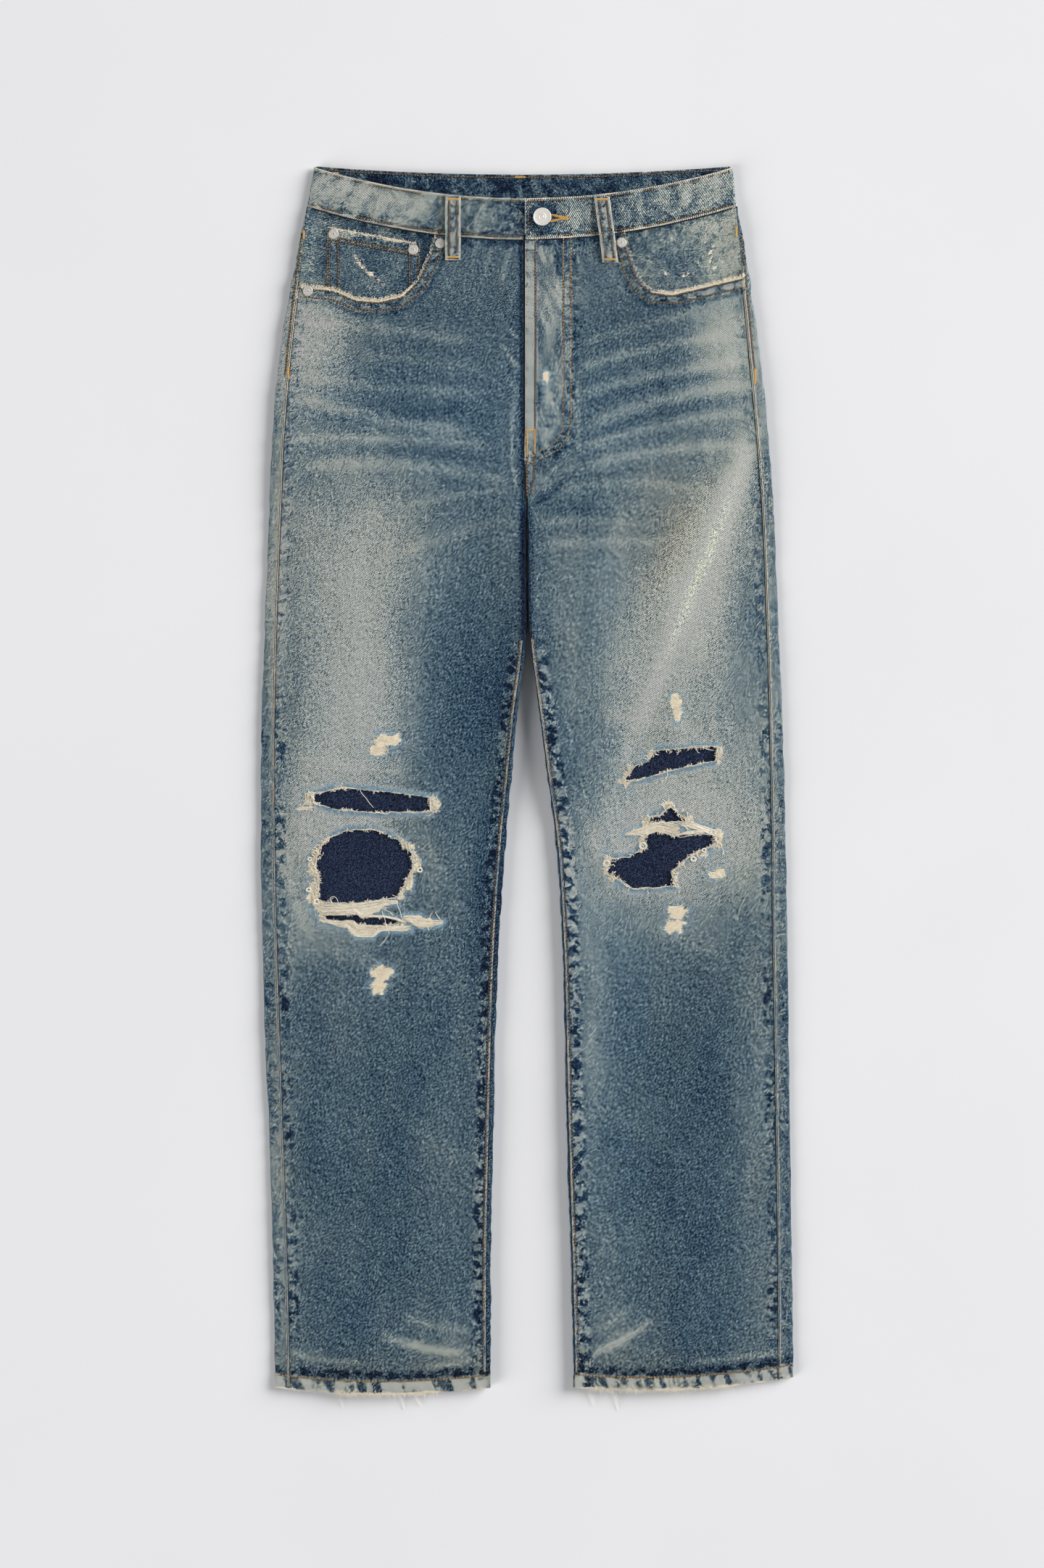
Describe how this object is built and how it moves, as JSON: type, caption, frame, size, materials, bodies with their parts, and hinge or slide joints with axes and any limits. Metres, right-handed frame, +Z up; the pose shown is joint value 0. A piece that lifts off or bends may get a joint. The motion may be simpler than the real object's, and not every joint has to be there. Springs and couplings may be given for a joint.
{
  "type": "ripped jeans laid flat",
  "caption": "Worn straight-leg jeans in faded blue denim laid flat front up, with scooped front pockets, belt loops, a shank button and torn knees backed by dark patches.",
  "frame": {"origin": "on the surface the jeans lie on, under the middle of the garment", "axes": "+X to the wearer's left, +Y towards the waist, +Z up out of the front face"},
  "size_m": [0.4849, 1.1153, 0.0176],
  "materials": {
    "denim": "faded and abraded cotton twill",
    "inner_denim": "unfaded cotton twill",
    "patch_denim": "dark indigo cotton twill",
    "pale_metal": "worn satin",
    "aged_brass": "aged satin"
  },
  "bodies": {
    "root": {"front_panel_r": "denim", "front_panel_l": "denim", "back_panel_r": "denim", "back_panel_l": "denim", "yoke_r": "denim", "yoke_l": "denim", "waistband": "denim", "belt_loop_front_r": "denim", "belt_loop_front_l": "denim", "belt_loop_side_r": "denim", "belt_loop_side_l": "denim", "belt_loop_back": "denim", "coin_pocket": "denim", "back_pocket_r": "denim", "back_pocket_l": "denim", "pocket_facing_r": "inner_denim", "pocket_facing_l": "inner_denim", "fly_shield": "inner_denim", "knee_patch_r": "patch_denim", "knee_patch_l": "patch_denim", "waist_button": "pale_metal", "rivet_hip_r": "aged_brass", "rivet_front_r": "aged_brass", "rivet_front_l": "aged_brass", "rivet_coin_out": "aged_brass", "rivet_coin_in": "aged_brass"}
  },
  "joints": []
}
